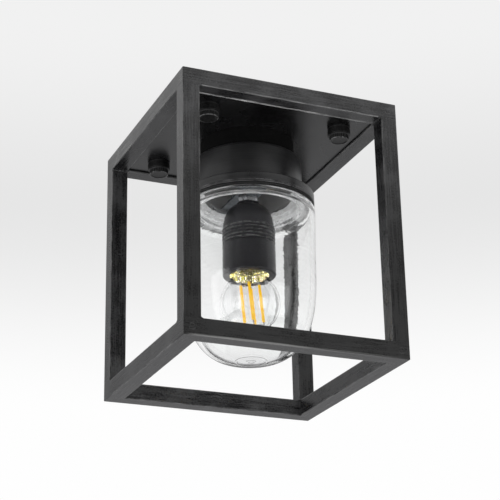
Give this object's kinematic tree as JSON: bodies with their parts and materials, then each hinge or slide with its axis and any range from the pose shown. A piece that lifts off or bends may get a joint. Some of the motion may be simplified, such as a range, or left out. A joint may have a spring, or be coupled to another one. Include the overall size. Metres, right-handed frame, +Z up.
{
  "type": "porch ceiling lantern",
  "caption": "Open square frame lantern for a porch ceiling, with a screw-on clear glass jar, a lamp holder and a lamp.",
  "frame": {"origin": "centre of the ceiling screw pattern, on the ceiling face", "axes": "+Z up into the ceiling, +X to the right along the front of the frame, +Y away from the front"},
  "size_m": [0.17, 0.17, 0.2],
  "materials": {
    "frame_black": "brushed black paint, satin",
    "plate_black": "satin black paint",
    "bracket_steel": "zinc plated",
    "rod_steel": "zinc plated",
    "grommet_rubber": "matt",
    "gasket_rubber": "matt",
    "nut_black": "moulded, semi-matt",
    "canister_grey": "satin black paint",
    "holder_black": "moulded, semi-matt",
    "insert_white": "unglazed",
    "block_plastic": "moulded",
    "terminal_brass": "plain",
    "cap_metal": "rolled, bright",
    "insulator_black": "glossy",
    "lead_brown": "smooth",
    "lead_blue": "smooth",
    "lead_green": "smooth",
    "jar_glass": "clear, moulded",
    "globe_glass": "clear, thin",
    "filament_yellow": "unlit"
  },
  "bodies": {
    "lantern_body": {"ceiling_bracket": "bracket_steel", "bracket_studs": "bracket_steel", "stud_sleeves": "bracket_steel", "cable_grommet": "grommet_rubber", "bracket_earth_screw": "terminal_brass", "top_rail_front": "frame_black", "top_rail_right": "frame_black", "top_rail_back": "frame_black", "top_rail_left": "frame_black", "post_front_left": "frame_black", "post_front_right": "frame_black", "post_back_right": "frame_black", "post_back_left": "frame_black", "bottom_rail_front": "frame_black", "bottom_rail_right": "frame_black", "bottom_rail_back": "frame_black", "bottom_rail_left": "frame_black", "cover_plate": "plate_black", "neck_spacer": "canister_grey", "upper_rod": "rod_steel", "upper_rod_nuts": "rod_steel", "canister": "canister_grey", "terminal_block": "block_plastic", "terminal_screws": "terminal_brass", "earth_screw": "terminal_brass", "earth_lug": "rod_steel", "jar_ring": "canister_grey", "ring_screw_set": "rod_steel", "holder_strap": "bracket_steel", "strap_screws": "rod_steel", "lower_rod": "rod_steel", "lower_rod_nuts": "rod_steel", "holder_cap": "holder_black", "holder_sleeve": "holder_black", "holder_insert": "insert_white", "holder_terminals": "terminal_brass", "screw_shell": "terminal_brass", "centre_contact": "terminal_brass", "live_lead": "lead_brown", "neutral_lead": "lead_blue", "earth_lead": "lead_green"},
    "gasket_body": {"jar_gasket": "gasket_rubber"},
    "jar_body": {"glass_jar": "jar_glass"},
    "lamp_contact_body": {"lamp_contact": "cap_metal"},
    "lamp_body": {"lamp_cap": "cap_metal", "lamp_insulator": "insulator_black", "lamp_globe": "globe_glass", "lamp_stem": "globe_glass", "lamp_filaments": "filament_yellow"},
    "washer_body_front_left": {"washer_front_left": "nut_black"},
    "nut_body_front_left": {"thumb_nut_front_left": "nut_black"},
    "washer_body_front_right": {"washer_front_right": "nut_black"},
    "nut_body_front_right": {"thumb_nut_front_right": "nut_black"},
    "washer_body_back_right": {"washer_back_right": "nut_black"},
    "nut_body_back_right": {"thumb_nut_back_right": "nut_black"},
    "washer_body_back_left": {"washer_back_left": "nut_black"},
    "nut_body_back_left": {"thumb_nut_back_left": "nut_black"}
  },
  "joints": [
    {"name": "jar_drop", "type": "slide", "parent": "lantern_body", "child": "gasket_body", "axis": [0, 0, -1], "range_m": [0, 0.00625]},
    {"name": "jar_turn", "type": "hinge", "parent": "gasket_body", "child": "jar_body", "pos_m": [0, 0, -0.06], "axis": [0, 0, -1], "range_deg": [0, 450]},
    {"name": "lamp_drop", "type": "slide", "parent": "lantern_body", "child": "lamp_contact_body", "axis": [0, 0, -1], "range_m": [0, 0.01542]},
    {"name": "lamp_turn", "type": "hinge", "parent": "lamp_contact_body", "child": "lamp_body", "pos_m": [0, 0, -0.1], "axis": [0, 0, -1], "range_deg": [0, 1530]},
    {"name": "nut_front_left_drop", "type": "slide", "parent": "lantern_body", "child": "washer_body_front_left", "axis": [0, 0, -1], "range_m": [0, 0.0064]},
    {"name": "nut_front_left_turn", "type": "hinge", "parent": "washer_body_front_left", "child": "nut_body_front_left", "pos_m": [-0.053, -0.053, -0.015], "axis": [0, 0, -1], "range_deg": [0, 2880]},
    {"name": "nut_front_right_drop", "type": "slide", "parent": "lantern_body", "child": "washer_body_front_right", "axis": [0, 0, -1], "range_m": [0, 0.0064]},
    {"name": "nut_front_right_turn", "type": "hinge", "parent": "washer_body_front_right", "child": "nut_body_front_right", "pos_m": [0.053, -0.053, -0.015], "axis": [0, 0, -1], "range_deg": [0, 2880]},
    {"name": "nut_back_right_drop", "type": "slide", "parent": "lantern_body", "child": "washer_body_back_right", "axis": [0, 0, -1], "range_m": [0, 0.0064]},
    {"name": "nut_back_right_turn", "type": "hinge", "parent": "washer_body_back_right", "child": "nut_body_back_right", "pos_m": [0.053, 0.053, -0.015], "axis": [0, 0, -1], "range_deg": [0, 2880]},
    {"name": "nut_back_left_drop", "type": "slide", "parent": "lantern_body", "child": "washer_body_back_left", "axis": [0, 0, -1], "range_m": [0, 0.0064]},
    {"name": "nut_back_left_turn", "type": "hinge", "parent": "washer_body_back_left", "child": "nut_body_back_left", "pos_m": [-0.053, 0.053, -0.015], "axis": [0, 0, -1], "range_deg": [0, 2880]}
  ],
  "couplings": [
    {"joint": "jar_turn", "follows": "jar_drop", "rad_per_m": 1256.6},
    {"joint": "lamp_turn", "follows": "lamp_drop", "rad_per_m": 1731.4},
    {"joint": "nut_front_left_turn", "follows": "nut_front_left_drop", "rad_per_m": 7854},
    {"joint": "nut_front_right_turn", "follows": "nut_front_right_drop", "rad_per_m": 7854},
    {"joint": "nut_back_right_turn", "follows": "nut_back_right_drop", "rad_per_m": 7854},
    {"joint": "nut_back_left_turn", "follows": "nut_back_left_drop", "rad_per_m": 7854}
  ]
}
